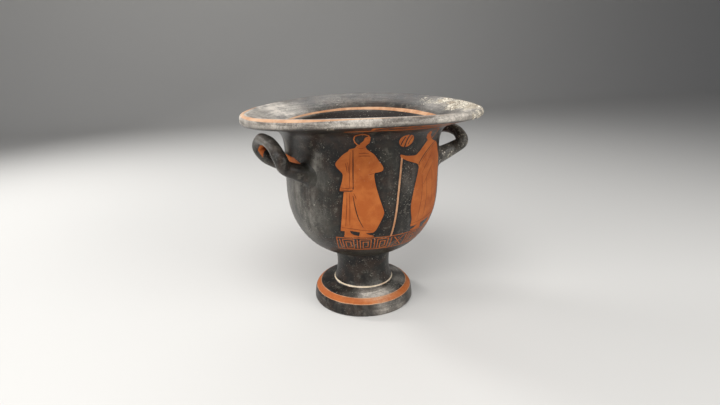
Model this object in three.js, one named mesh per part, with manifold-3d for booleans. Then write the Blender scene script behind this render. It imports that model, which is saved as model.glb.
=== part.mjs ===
import * as THREE from "three";
import { mergeVertices } from "three/addons/utils/BufferGeometryUtils.js";
import Module from "manifold-3d";

// Bell krater of fired clay. Millimetres, +Z up, standing on its foot at z = 0.
// The painted front faces -Y, one handle stands at +X, the other near -X.
// Heights are stacked from the foot upwards, so each can be changed by itself.

// Foot
const footRadius = 85.5;
const footEdge = 2;
const footLean = 1.5;
const footSideHeight = 16;
const footShoulderRise = 13.5;
const footTopInset = 13.5;
const footTopRise = 4;
const ringStep = 1.2;
const restWidth = 24;

// Stem
const stemFootRadius = 51;
const stemWaistRadius = 44.5;
const stemTopRadius = 47;
const stemHeight = 57.5;
const stemWall = 9.5;

// Bowl
const bowlRadius = 124;
const bellyRise = 118;
const bellyFullness = 2.37;
const upperWallRise = 52;
const wallThickness = 7.5;
const floorThickness = 17;
const floorRise = 11;

// Lip: a wide flare that ends in a rounded edge
const lipOverhang = 65;
const flareRise = 56;
const lipRoll = 6;
const lipTiltHeight = 2.4;
const lipSagHeight = 4.2;
const lipHighAngle = -20;
const lipDroopHeight = 4.5;
const lipDroopAngle = -80;

// Handles: two legs leave the wall side by side, rise outwards and turn up into a loop
const barAtWall = 14;
const barAtLoop = 8.6;
const legSpread = 46;
const kneeSpread = 43;
const loopSpread = 51.5;
const kneeReach = 22;
const loopReach = 31;
const rightHandle = { angle: 90, drop: 14, rise: 35, reach: 40 };
const leftHandle = { angle: -82, drop: 20, rise: 48, reach: 36 };

// Fineness of the round shapes
const turns = 64;
const barSides = 7;
const barSteps = 26;

// Levels and radii that follow from the sizes above
const stemFootHeight = footSideHeight + footShoulderRise + footTopRise + ringStep;
const stemTopHeight = stemFootHeight + stemHeight;
const bellyHeight = stemTopHeight + bellyRise;
const shoulderHeight = bellyHeight + upperWallRise;
const lipHeight = shoulderHeight + flareRise + lipRoll * 2;
const lipRadius = bowlRadius + lipOverhang;
const innerRadius = bowlRadius - wallThickness;
const innerFloorHeight = stemTopHeight + floorRise;

const clay = new THREE.MeshStandardMaterial({ color: 0x463e37, roughness: 0.45, metalness: 0 });

function point(radius, level) {
  return new THREE.Vector2(radius, level);
}

// Superellipse of the belly, from its start radius up to its full radius
function belly(startRadius, startHeight, fullRadius, count) {
  const startShare = Math.pow(startRadius / fullRadius, bellyFullness);
  const startFall = Math.pow(1 - startShare, 1 / bellyFullness);
  const depth = (bellyHeight - startHeight) / startFall;
  const points = [];
  for (let i = 0; i <= count; i += 1) {
    const fall = startFall * Math.cos(((i / count) * Math.PI) / 2);
    const reach = Math.pow(1 - Math.pow(fall, bellyFullness), 1 / bellyFullness);
    points.push(point(fullRadius * reach, bellyHeight - depth * fall));
  }
  return points;
}

// Curve from the upright wall out to the edge of the lip
function flare(inset, edge) {
  const wallRadius = bowlRadius - inset;
  const bendRadius = bowlRadius + lipOverhang * 0.18 - inset * 0.75;
  return new THREE.CubicBezierCurve(
    point(wallRadius, shoulderHeight),
    point(wallRadius, shoulderHeight + flareRise * 0.82),
    point(bendRadius, shoulderHeight + flareRise * 0.76 + inset * 1.15),
    edge,
  );
}

// Hollow under the foot and inside the stem, from its top down to the standing ring
function hollow() {
  const top = innerFloorHeight - floorThickness;
  const neck = stemWaistRadius - stemWall;
  const rest = footRadius - restWidth;
  return new THREE.SplineCurve([
    point(0, top),
    point(neck * 0.62, top * 0.94),
    point(neck * 0.96, top * 0.72),
    point(neck, top * 0.51),
    point((neck + rest) / 2, footSideHeight * 1.5),
    point(rest - footEdge, footSideHeight * 0.75),
    point(rest, 0),
  ]);
}

// Outline of the whole body, from the top of the hollow round to the bowl's floor
function bodyOutline() {
  const shoulderTop = footSideHeight + footShoulderRise;
  const footShoulder = new THREE.QuadraticBezierCurve(
    point(footRadius - footLean, footSideHeight),
    point(footRadius - footLean - footTopInset * 0.17, footSideHeight + footShoulderRise * 0.7),
    point(footRadius - footTopInset, shoulderTop),
  );
  const stem = new THREE.SplineCurve([
    point(stemFootRadius, stemFootHeight),
    point(stemWaistRadius + (stemFootRadius - stemWaistRadius) * 0.35, stemFootHeight + stemHeight * 0.18),
    point(stemWaistRadius, stemFootHeight + stemHeight * 0.53),
    point(stemTopRadius, stemTopHeight),
  ]);
  const roll = new THREE.EllipseCurve(
    lipRadius - lipRoll, lipHeight - lipRoll, lipRoll, lipRoll, -Math.PI / 2, (Math.PI * 2) / 3, false, 0,
  );
  const underside = flare(0, roll.getPoint(0));
  const mouth = flare(wallThickness, roll.getPoint(1));
  const outline = [
    ...hollow().getPoints(9),
    point(footRadius - footEdge, 0),
    point(footRadius - footEdge * 0.3, footEdge * 0.4),
    point(footRadius, footEdge * 1.5),
    ...footShoulder.getPoints(4),
    point(stemFootRadius + ringStep, stemFootHeight - ringStep),
    ...stem.getPoints(5),
    ...belly(stemTopRadius, stemTopHeight, bowlRadius, 10).slice(1),
    ...underside.getPoints(8).slice(1),
    ...roll.getPoints(6).slice(1),
    ...mouth.getPoints(7).reverse().slice(1),
    ...belly(0, innerFloorHeight, innerRadius, 9).reverse().slice(1),
  ];
  const lipTop = outline.findIndex((spot) => spot.y === Math.max(...outline.map((each) => each.y)));
  return { outline, lipTop };
}

// The fired lip is not level: it tips a little and dips over the two handles.
// Its underside also hangs deeper on one side, up to the point where the lip is highest.
function sagLip(geometry, outline, lipTop) {
  const position = geometry.getAttribute("position");
  for (let i = 0; i < position.count; i += 1) {
    const spot = outline[i % outline.length];
    const around = Math.atan2(position.getX(i), -position.getY(i));
    const angle = around - THREE.MathUtils.degToRad(lipHighAngle);
    const fade = THREE.MathUtils.smoothstep(spot.y, shoulderHeight, lipHeight - lipRoll);
    const shift = lipTiltHeight * Math.sin(angle) + lipSagHeight * Math.cos(2 * angle);
    const deep = Math.cos((around - THREE.MathUtils.degToRad(lipDroopAngle)) / 2) ** 8;
    const outer = THREE.MathUtils.smoothstep(spot.x, bowlRadius + lipOverhang / 2, lipRadius);
    const under = THREE.MathUtils.smoothstep(lipHeight - spot.y, 0, lipRoll * 2);
    const droop = i % outline.length < lipTop ? lipDroopHeight * deep * outer * under : 0;
    position.setZ(i, spot.y + fade * shift - droop);
  }
}

function makeBody() {
  const { outline, lipTop } = bodyOutline();
  const geometry = new THREE.LatheGeometry(outline, turns);
  geometry.rotateX(Math.PI / 2);
  sagLip(geometry, outline, lipTop);
  return geometry;
}

// Space inside the middle of the wall, where the handles' legs are cut off
function makeCore() {
  const middle = bowlRadius - wallThickness / 2;
  const geometry = new THREE.LatheGeometry([
    ...belly(0, innerFloorHeight - floorThickness / 2, middle, 9),
    point(middle, lipHeight),
    point(0, lipHeight),
  ], turns);
  geometry.rotateX(Math.PI / 2);
  return geometry;
}

// Centre line of one handle, mirrored about its own middle
function handleLine(handle) {
  const root = shoulderHeight - handle.drop;
  const half = [
    [-wallThickness * 2, legSpread, root - handle.rise * 0.06],
    [kneeReach, kneeSpread, root + handle.rise * 0.29],
    [loopReach, loopSpread, root + handle.rise * 0.57],
    [handle.reach - 2, loopSpread * 0.6, root + handle.rise * 0.9],
    [handle.reach, 0, root + handle.rise],
  ];
  const mirrored = half.slice(0, -1).reverse().map(([reach, side, level]) => [reach, -side, level]);
  const turn = THREE.MathUtils.degToRad(handle.angle);
  const line = [...half, ...mirrored].map(([reach, side, level]) => new THREE.Vector3(
    (bowlRadius + reach) * Math.sin(turn) + side * Math.cos(turn),
    -(bowlRadius + reach) * Math.cos(turn) + side * Math.sin(turn),
    level,
  ));
  return new THREE.CatmullRomCurve3(line, false, "centripetal");
}

// Round bar along the centre line, thicker where it joins the wall
function makeHandle(handle) {
  const line = handleLine(handle);
  const section = new THREE.Shape();
  section.absarc(0, 0, barAtLoop, 0, Math.PI * 2, false);
  const geometry = new THREE.ExtrudeGeometry(section, {
    steps: barSteps,
    curveSegments: barSides,
    extrudePath: line,
    bevelEnabled: false,
  });
  const centres = line.getSpacedPoints(barSteps);
  const position = geometry.getAttribute("position");
  const spot = new THREE.Vector3();
  for (let i = 0; i < position.count; i += 1) {
    spot.fromBufferAttribute(position, i);
    const distances = centres.map((centre) => Math.abs(spot.distanceTo(centre) - barAtLoop));
    const nearest = distances.indexOf(Math.min(...distances));
    const towardsWall = Math.abs((2 * nearest) / barSteps - 1) ** 2;
    const radius = THREE.MathUtils.lerp(barAtLoop, barAtWall, towardsWall);
    spot.sub(centres[nearest]).setLength(radius).add(centres[nearest]);
    position.setXYZ(i, spot.x, spot.y, spot.z);
  }
  return geometry;
}

const wasm = await Module();
wasm.setup();

// Closed solid from a three.js shape, without doubled vertices or empty triangles
function solid(geometry) {
  geometry.deleteAttribute("normal");
  geometry.deleteAttribute("uv");
  const merged = mergeVertices(geometry, 0.001);
  const index = merged.getIndex().array;
  const kept = [];
  for (let i = 0; i < index.length; i += 3) {
    const [a, b, c] = [index[i], index[i + 1], index[i + 2]];
    if (a !== b && b !== c && c !== a) {
      kept.push(a, b, c);
    }
  }
  return new wasm.Manifold(new wasm.Mesh({
    numProp: 3,
    vertProperties: new Float32Array(merged.getAttribute("position").array),
    triVerts: new Uint32Array(kept),
  }));
}

const handles = solid(makeHandle(rightHandle)).add(solid(makeHandle(leftHandle)));
const joined = solid(makeBody()).add(handles.subtract(solid(makeCore())));
const result = joined.getMesh();

const kraterShape = new THREE.BufferGeometry();
kraterShape.setAttribute("position", new THREE.BufferAttribute(new Float32Array(result.vertProperties), 3));
kraterShape.setIndex(new THREE.BufferAttribute(new Uint32Array(result.triVerts), 1));
kraterShape.computeVertexNormals();
const krater = new THREE.Mesh(kraterShape, clay);
krater.name = "krater";

const part = new THREE.Group();
part.name = "bell_krater";
part.add(krater);

export default part;
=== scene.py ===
import math

import bpy
import numpy as np
from mathutils import Matrix, Vector, kdtree, noise
from mathutils.geometry import delaunay_2d_cdt


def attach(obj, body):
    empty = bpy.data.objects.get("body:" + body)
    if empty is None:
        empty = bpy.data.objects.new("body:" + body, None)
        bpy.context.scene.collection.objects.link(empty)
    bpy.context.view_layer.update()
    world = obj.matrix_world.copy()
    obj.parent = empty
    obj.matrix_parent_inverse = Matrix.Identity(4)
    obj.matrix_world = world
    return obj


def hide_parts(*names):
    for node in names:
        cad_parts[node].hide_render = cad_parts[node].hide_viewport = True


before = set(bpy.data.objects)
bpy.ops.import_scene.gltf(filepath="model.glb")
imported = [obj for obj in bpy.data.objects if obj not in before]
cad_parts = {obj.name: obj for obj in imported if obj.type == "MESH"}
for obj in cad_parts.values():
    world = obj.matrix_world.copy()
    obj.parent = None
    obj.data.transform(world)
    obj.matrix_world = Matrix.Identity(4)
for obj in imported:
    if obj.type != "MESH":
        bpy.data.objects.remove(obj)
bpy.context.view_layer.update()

mm = 0.001

# shape of the pot, in millimetres
foot = {"radius": 85.5, "edge": 2, "lean": 1.5, "side": 16, "shoulder": 13.5, "inset": 13.5, "topRise": 4,
        "ring": 1.2, "rest": 24}
stem = {"footRadius": 51, "waist": 44.5, "topRadius": 47, "height": 57.5, "wall": 9.5}
bowl = {"radius": 124, "bellyRise": 118, "fullness": 2.37, "upperWall": 52, "wall": 7.5, "floor": 17,
        "floorRise": 11}
lip = {"overhang": 65, "flare": 56, "roll": 6, "tilt": 2.4, "sag": 4.2, "highAngle": -20, "droop": 4.5,
       "droopAngle": -80}
handles = {
    "right": {"angle": 90, "drop": 14, "rise": 35, "reach": 40},
    "left": {"angle": -82, "drop": 20, "rise": 48, "reach": 36},
    "atWall": 14, "atLoop": 8.6, "legSpread": 46, "kneeSpread": 43, "loopSpread": 51.5,
    "kneeReach": 22, "loopReach": 31, "fillet": 7,
}
throwing = {"waver": 0.3, "ridges": 0.1, "insideRidges": 0.3, "ridgeStep": 5.5, "paintWobble": 0.35}
mesh = {"turns": 240, "rowStep": 3.2, "barSides": 40, "barSteps": 84, "easing": 13,
        "hollowRow": 5, "footRow": 1.8, "stemRow": 3.0, "flareRow": 2.5, "rollRow": 1.3, "mouthRow": 2.6,
        "mouthDepth": 90, "floorRow": 6}

stemFootHeight = foot["side"] + foot["shoulder"] + foot["topRise"] + foot["ring"]
stemTopHeight = stemFootHeight + stem["height"]
bellyHeight = stemTopHeight + bowl["bellyRise"]
shoulderHeight = bellyHeight + bowl["upperWall"]
lipHeight = shoulderHeight + lip["flare"] + lip["roll"] * 2
lipRadius = bowl["radius"] + lip["overhang"]
innerFloor = stemTopHeight + bowl["floorRise"]


def bezier(points, count):
    t = np.linspace(0, 1, count + 1)[:, None]
    rest = [np.array(p, float) for p in points]
    degree = len(rest) - 1
    return sum(math.comb(degree, k) * (1 - t) ** (degree - k) * t ** k * p for k, p in enumerate(rest))


def spline(points, count, power=0.0):
    # Catmull-Rom through the points; power 0.5 spaces the knots by the root of the distance
    pts = [np.array(p, float) for p in points]
    pts = [pts[0] * 2 - pts[1]] + pts + [pts[-1] * 2 - pts[-2]]
    if power == 0:
        pts[0], pts[-1] = pts[1], pts[-2]
    out = []
    spans = len(pts) - 3
    for k in range(count + 1):
        at = min(k / count * spans, spans - 1e-9)
        i = int(at)
        p = pts[i:i + 4]
        gaps = [max(np.linalg.norm(p[j + 1] - p[j]) ** power, 1e-6) for j in range(3)]
        t = at - i
        m1 = ((p[1] - p[0]) / gaps[0] - (p[2] - p[0]) / (gaps[0] + gaps[1]) + (p[2] - p[1]) / gaps[1]) * gaps[1]
        m2 = ((p[2] - p[1]) / gaps[1] - (p[3] - p[1]) / (gaps[1] + gaps[2]) + (p[3] - p[2]) / gaps[2]) * gaps[1]
        a, b = 2 * p[1] - 2 * p[2] + m1 + m2, -3 * p[1] + 3 * p[2] - 2 * m1 - m2
        out.append(((a * t + b) * t + m1) * t + p[1])
    return np.array(out)


def belly(startRadius, startHeight, fullRadius, count):
    n = bowl["fullness"]
    startFall = (1 - (startRadius / fullRadius) ** n) ** (1 / n)
    depth = (bellyHeight - startHeight) / startFall
    fall = startFall * np.cos(np.linspace(0, math.pi / 2, count + 1))
    return np.stack([fullRadius * (1 - fall ** n) ** (1 / n), bellyHeight - depth * fall], 1)


def flare(inset, edge):
    wallRadius = bowl["radius"] - inset
    bendRadius = bowl["radius"] + lip["overhang"] * 0.18 - inset * 0.75
    return bezier([(wallRadius, shoulderHeight), (wallRadius, shoulderHeight + lip["flare"] * 0.82),
                   (bendRadius, shoulderHeight + lip["flare"] * 0.76 + inset * 1.15), edge], 60)


def potOutline():
    # round from the top of the hollow under the foot, up the outside, over the lip and down to the floor
    top, neck, rest = innerFloor - bowl["floor"], stem["waist"] - stem["wall"], foot["radius"] - foot["rest"]
    hollow = spline([(0, top), (neck * 0.62, top * 0.94), (neck * 0.96, top * 0.72), (neck, top * 0.51),
                     ((neck + rest) / 2, foot["side"] * 1.5), (rest - foot["edge"], foot["side"] * 0.75),
                     (rest, 0)], 60)
    radius, edge = foot["radius"], foot["edge"]
    underEdge = bezier([(radius - edge * 1.2, 0), (radius - edge * 0.1, 0), (radius, edge * 1.5)], 8)
    shoulder = bezier([(radius - foot["lean"], foot["side"]),
                       (radius - foot["lean"] - foot["inset"] * 0.17, foot["side"] + foot["shoulder"] * 0.7),
                       (radius - foot["inset"], foot["side"] + foot["shoulder"])], 24)
    waistDrop = stem["footRadius"] - stem["waist"]
    shaft = spline([(stem["footRadius"], stemFootHeight),
                    (stem["waist"] + waistDrop * 0.35, stemFootHeight + stem["height"] * 0.18),
                    (stem["waist"], stemFootHeight + stem["height"] * 0.53),
                    (stem["topRadius"], stemTopHeight)], 40)
    turn = np.linspace(-math.pi / 2, math.pi * 2 / 3, 30)
    roll = np.stack([lipRadius - lip["roll"] + lip["roll"] * np.cos(turn),
                     lipHeight - lip["roll"] + lip["roll"] * np.sin(turn)], 1)
    inside = bowl["radius"] - bowl["wall"]
    parts = {
        "hollow": hollow,
        "foot": np.concatenate([underEdge, shoulder, [(stem["footRadius"] + foot["ring"],
                                                       stemFootHeight - foot["ring"])]]),
        "stem": shaft,
        "wall": np.concatenate([belly(stem["topRadius"], stemTopHeight, bowl["radius"], 90)[1:],
                                flare(0, roll[0])[:-1]]),
        "roll": roll,
        "inside": np.concatenate([flare(bowl["wall"], roll[-1])[::-1][1:],
                                  belly(0, innerFloor, inside, 60)[::-1][1:]]),
    }
    points, marks = [], {}
    for name, part in parts.items():
        marks[name] = len(points)
        points.extend(part)
    points = np.array(points)
    along = np.concatenate([[0], np.cumsum(np.linalg.norm(np.diff(points, axis=0), axis=1))])
    marks = {name: along[i] for name, i in marks.items()}
    marks["end"] = along[-1]
    return points, along, marks


outline, outlineAlong, marks = potOutline()


def alongAt(part, height=None, radius=None):
    # distance along the outline where one part of the pot reaches a height or a radius
    names = list(marks)
    stop = marks[names[names.index(part) + 1]]
    s = np.linspace(marks[part], stop, 800)
    column, wanted = (1, height) if radius is None else (0, radius)
    value = np.interp(s, outlineAlong, outline[:, column])
    return float(s[np.argmin(abs(value - wanted))])


def smooth(x, low, high):
    t = np.clip((x - low) / (high - low), 0, 1)
    return t * t * (3 - 2 * t)


def waver(x, y, z, scale, seed=0.0):
    return np.array([noise.noise(Vector((a * scale + seed, b * scale, c * scale))) for a, b, c in zip(x, y, z)])


def basePoint(phi, s):
    # a point of the thrown shape before the small unevenness; phi is measured from the painted front
    r = np.interp(s, outlineAlong, outline[:, 0])
    h = np.interp(s, outlineAlong, outline[:, 1])
    angle = phi - math.radians(lip["highAngle"])
    fade = smooth(h, shoulderHeight, lipHeight - lip["roll"])
    shift = lip["tilt"] * np.sin(angle) + lip["sag"] * np.cos(2 * angle)
    deep = np.cos((phi - math.radians(lip["droopAngle"])) / 2) ** 8
    outer = smooth(r, bowl["radius"] + lip["overhang"] / 2, lipRadius)
    under = smooth(lipHeight - h, 0, lip["roll"] * 2)
    below = 1 - smooth(s, marks["roll"] + lip["roll"] * 1.2, marks["roll"] + lip["roll"] * 2.2)
    z = h + fade * shift - lip["droop"] * deep * outer * under * below
    return np.stack([r * np.sin(phi), -r * np.cos(phi), z], -1)


chips = [  # knocks on the edges: angle, part, height, size, depth
    {"phi": 33, "part": "foot", "height": 2, "size": 5, "depth": 1.1},
    {"phi": -14, "part": "foot", "height": 1.5, "size": 4, "depth": 0.8},
    {"phi": 61, "part": "foot", "height": 15, "size": 4, "depth": 0.7},
    {"phi": -64, "part": "roll", "height": 322, "size": 5, "depth": 0.8},
    {"phi": -31, "part": "roll", "height": 319, "size": 6, "depth": 1.0},
    {"phi": 12, "part": "roll", "height": 328, "size": 4, "depth": 0.7},
    {"phi": 72, "part": "roll", "height": 326, "size": 7, "depth": 1.1},
    {"phi": 150, "part": "roll", "height": 324, "size": 6, "depth": 1.0},
    {"phi": -140, "part": "foot", "height": 8, "size": 6, "depth": 1.0},
]


def potPoint(phi, s):
    # the thrown shape with its turning ridges, slight waver and the knocks on its edges
    p = basePoint(phi, s)
    e = 0.4
    along = basePoint(phi, np.minimum(s + e, marks["end"])) - basePoint(phi, np.maximum(s - e, 0))
    normal = np.cross(along, np.stack([np.cos(phi), np.sin(phi), np.zeros_like(phi)], -1))
    normal /= np.maximum(np.linalg.norm(normal, axis=-1, keepdims=True), 1e-9)
    normal *= -1
    inside = smooth(s, marks["inside"], marks["inside"] + 40)
    ridge = np.sin(s / throwing["ridgeStep"] * 2 * math.pi + np.sin(s * 0.11) * 2 + phi)
    push = ridge * (throwing["ridges"] + inside * throwing["insideRidges"]) * smooth(s, marks["foot"], marks["stem"])
    push = push + throwing["waver"] * waver(p[:, 0], p[:, 1], p[:, 2], 0.022, 7.0)
    push = push * smooth(p[:, 2], 0, 6)
    for chip in chips:
        spot = basePoint(np.array([math.radians(chip["phi"])]), np.array([alongAt(chip["part"], chip["height"])]))[0]
        gap = np.linalg.norm(p - spot, axis=1)
        push = push - chip["depth"] * np.exp(-(gap / chip["size"] * 1.7) ** 2) * (p[:, 2] > 0.5)
    return p + normal * push[:, None], normal


# painted design on the unrolled wall, in millimetres: across is measured round the wall from the front,
# up from the top line of the key band
front = {"keyBand": 149.9, "keyBandBottom": 125.2, "leafBandInner": 148.5, "leafBandOuter": 180}
upZero = alongAt("wall", front["keyBand"])
roundHalf = math.pi * bowl["radius"]
layers = []  # (material name, polygon), later ones lie on top
keyBottom = alongAt("wall", front["keyBandBottom"]) - upZero
leafBottom = alongAt("wall", radius=front["leafBandInner"]) - upZero
leafTop = alongAt("wall", radius=front["leafBandOuter"]) - upZero


def rounded(points, passes=2, closed=True):
    pts = np.array(points, float)
    for _ in range(passes):
        nxt = np.roll(pts, -1, 0) if closed else pts[1:]
        cur = pts if closed else pts[:-1]
        cut = np.empty((len(cur) * 2, 2))
        cut[0::2], cut[1::2] = cur * 0.75 + nxt * 0.25, cur * 0.25 + nxt * 0.75
        pts = cut if closed else np.concatenate([pts[:1], cut[1:-1], pts[-1:]])
    return pts


def area(name, points, origin=(0, 0), mirror=1, passes=2):
    pts = rounded(points, passes) * (mirror, 1) + origin
    keep = [pts[0]]
    for p in pts[1:]:
        if np.linalg.norm(p - keep[-1]) > 0.35:
            keep.append(p)
    layers.append((name, np.array(keep)))


def stroke(name, points, width, origin=(0, 0), mirror=1, taper=0.35, passes=2):
    line = rounded(points, passes, closed=False) * (mirror, 1) + origin
    step = np.gradient(line, axis=0)
    side = np.stack([-step[:, 1], step[:, 0]], 1) / np.maximum(np.linalg.norm(step, axis=1, keepdims=True), 1e-9)
    share = np.linspace(0, 1, len(line))[:, None]
    half = width / 2 * (taper + (1 - taper) * np.sqrt(np.sin(math.pi * np.clip(share, 0.02, 0.98))))
    layers.append((name, np.concatenate([line + side * half, (line - side * half)[::-1]])))


def oval(name, centre, size, lean=0.0, count=30, scallop=0.0, lobes=9):
    t = np.linspace(0, 2 * math.pi, count, endpoint=False)
    reach = 1 + scallop * np.abs(np.sin(t * lobes / 2))
    x, y = size[0] * np.cos(t) * reach, size[1] * np.sin(t) * reach
    c, s = math.cos(lean), math.sin(lean)
    layers.append((name, np.stack([x * c - y * s + centre[0], x * s + y * c + centre[1]], 1)))


def strip(name, bottom, top, left=-roundHalf, right=roundHalf):
    layers.append((name, np.array([(left, bottom), (right, bottom), (right, top), (left, top)])))


def keyBand(left, right, settings, ends=(True, True)):
    # reserved square spirals and upright bars on a dark ground, inside a reserved frame
    line, space, slant, edge = settings["line"], settings["space"], settings["slant"], settings["frame"]
    low, high = keyBottom + edge + space * 0.5, -edge - space * 0.5
    layers.append(("clay", np.array([(left - slant, keyBottom), (right + slant, keyBottom), (right, 0), (left, 0)])))
    inLeft, inRight = left + edge * ends[0], right - edge * ends[1]
    layers.append(("gloss", np.array([(inLeft - slant, keyBottom + edge), (inRight + slant, keyBottom + edge),
                                      (inRight, -edge), (inLeft, -edge)])))
    count = round((inRight - inLeft) / settings["pitch"])
    pitch = (inRight - inLeft) / count

    def bar(points):
        pts = np.array(points, float)
        half = line / 2
        for a, b in zip(pts[:-1], pts[1:]):
            d = (b - a) / max(np.linalg.norm(b - a), 1e-9)
            n = np.array([-d[1], d[0]]) * half
            a2, b2 = a - d * half, b + d * half
            layers.append(("clay", np.array([a2 + n, b2 + n, b2 - n, a2 - n])))

    for i in range(count):
        x = inLeft + i * pitch
        start, stop = x + space * 1.75, x + pitch - space * 0.5
        bar([(x + space * 0.75, low), (x + space * 0.75, high)])
        if i == settings["crossAt"]:  # a crossed square breaks the run
            middle, centre = (low + high) / 2, (start + stop) / 2
            bar([(start, low), (stop, high)])
            bar([(start, high), (stop, low)])
            for dx, dy in ((0, 0.36), (0, -0.36), (0.36, 0), (-0.36, 0)):
                spot = np.array([centre + dx * (stop - start), middle + dy * (high - low)])
                bar([spot - (line * 0.3, 0), spot + (line * 0.3, 0)])
            continue
        bar([(start, low), (start, high), (stop, high), (stop, low), (start + space, low),
             (start + space, high - space), (stop - space, high - space), (stop - space, low + space),
             (start + space * 1.9, low + space)])


def leafBand(settings):
    # dark slanted leaves on a reserved band; it is worn away over the left handle
    step = roundHalf * 2 / settings["leaves"]
    lineTop = leafBottom + settings["line"]
    low, high, lean = lineTop + settings["gap"] * 0.8, leafTop - 1.2, step * 0.8
    for left, right in ((-roundHalf, settings["wornFrom"]), (settings["wornTo"], roundHalf)):
        strip("clay", leafBottom, lineTop, left, right)
        left = left if right < 0 else settings["leavesFrom"]
        strip("clay", lineTop + settings["gap"], leafTop, left, right)
        x = left + step * 0.1
        while x + step + lean < right:
            area("gloss", [(x, low), (x + step * 0.82, low), (x + lean * 0.5 + step * 0.9, (low + high) / 2),
                           (x + lean + step * 0.6, high), (x + lean + step * 0.2, high),
                           (x + lean * 0.5, (low + high) / 2)], passes=2)
            x += step


folds = {"line": 1.15, "heavy": 1.7}


def head(centre, size, mirror):
    # a calm profile with short hair, kept apart from the ground by a thin reserved line
    oval("clay", centre, (12.4 * size, 12.0 * size), scallop=0.06, lobes=13, count=52)
    oval("gloss", centre, (10.6 * size, 10.2 * size), scallop=0.06, lobes=13, count=52)
    face = [(-4, -12.6), (-3, -7.8), (0, -5.3), (3, -2.8), (4, 1.2), (6.5, 4.7), (10.5, 4.7), (11.7, 1.2), (13.3, -2.4),
            (11.9, -4), (12.1, -6.4), (10.7, -8.4), (7.5, -9), (6.5, -12.6)]
    area("clay", np.array(face) * size, centre, mirror)
    for points, width in (([(7.7, 0.4), (10.1, 0.6)], 0.8), ([(7.3, 2.4), (10.3, 2.8)], 0.6),
                          ([(9.7, -5.6), (11.7, -5.4)], 0.6)):
        stroke("line", np.array(points) * size, width, centre, mirror)


def feet(ankles, at, mirror):
    for ankle, lift in ankles:
        area("clay", [(ankle - 4, lift + 2), (ankle - 4.2, 7), (ankle - 6, 3.5), (ankle - 5.5, 0.9),
                      (ankle + 5, 0.9), (ankle + 15, 0.9), (ankle + 19, 1.8), (ankle + 17.5, 4), (ankle + 10, 6.2),
                      (ankle + 5.5, 9), (ankle + 4.6, lift + 2)], at, mirror)
        stroke("line", [(ankle + 14, 3.6), (ankle + 18, 1.9)], 0.6, at, mirror)


def drawFolds(lines, at, mirror):
    for points, width in lines:
        stroke("line" if width > folds["line"] else "thinLine", points, width, at, mirror)


def standingYouth(x, mirror=1):
    # a cloaked youth seen from the front with the head turned to the right, or to the left if mirrored
    at = (x, 0)
    area("clay", [(-5, 140), (-6, 136.5), (-15, 135), (-16, 132), (-23, 128.5), (-30, 121.5), (-35.5, 115.5),
                  (-35, 111), (-29, 105), (-24.5, 100.5), (-25.5, 92), (-29.5, 79), (-30, 75.5), (-30, 75.5),
                  (-20, 75.5), (-11, 77.5), (-10.8, 75.5), (-24, 74.5), (-24.3, 73.5), (-26.5, 52), (-29, 30),
                  (-32, 13.5), (-32, 12), (-18, 14), (-6, 12), (4, 10), (12, 9), (21, 10.5), (27, 24),
                  (33.5, 39), (33.8, 44), (28, 60), (22, 80), (19, 96), (19.5, 101), (20, 101.8), (30, 103),
                  (32.5, 106), (31.5, 111), (26, 118), (20, 127), (12, 132.5), (8.5, 135), (7, 140)], at, mirror)
    head((x + 2.6 * mirror, 149.0), 0.86, mirror)
    stroke("thinLine", [(-4, 137.2), (1, 135.2), (7.4, 137)], 0.7, at, mirror)
    feet(((-22, 12.5), (1.5, 11)), at, mirror)
    drawFolds((
        ([(-13.5, 131), (-14.8, 112), (-15.4, 92), (-15.4, 80)], folds["line"]),
        ([(-9.6, 134), (-10, 118), (-10.4, 96), (-10.4, 81)], folds["heavy"]),
        ([(-10.4, 82), (-10.8, 79.5), (-10, 78.8)], 2.2),
        ([(-2, 129.2), (5, 129.6), (12, 129.2)], folds["line"]),
        ([(-2, 125.4), (6, 126), (14, 125.2)], folds["line"]),
        ([(-20.4, 116), (-19.4, 110), (-18.6, 103)], folds["line"]),
        ([(-17.4, 117), (-16.8, 110), (-16.4, 102)], folds["line"]),
        ([(-28.6, 80.4), (-20, 79.6), (-12, 80.8)], folds["line"]),
        ([(-28, 77.2), (-22, 77), (-17, 77.4)], folds["line"]),
        ([(-19.5, 73), (-20.4, 48), (-23.4, 21)], folds["line"]),
        ([(-16.2, 73), (-15.6, 50), (-17, 24)], folds["line"]),
        ([(-11, 69), (-8.4, 52), (-4, 34), (3, 19.5)], folds["heavy"]),
        ([(-10, 73), (-7.6, 68), (-6.4, 64)], folds["line"]),
        ([(-30, 19), (-12, 17.4), (4, 14.2), (14, 13.2)], folds["line"]),
        ([(12, 99.5), (19, 101)], folds["line"]),
    ), at, mirror)


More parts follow.
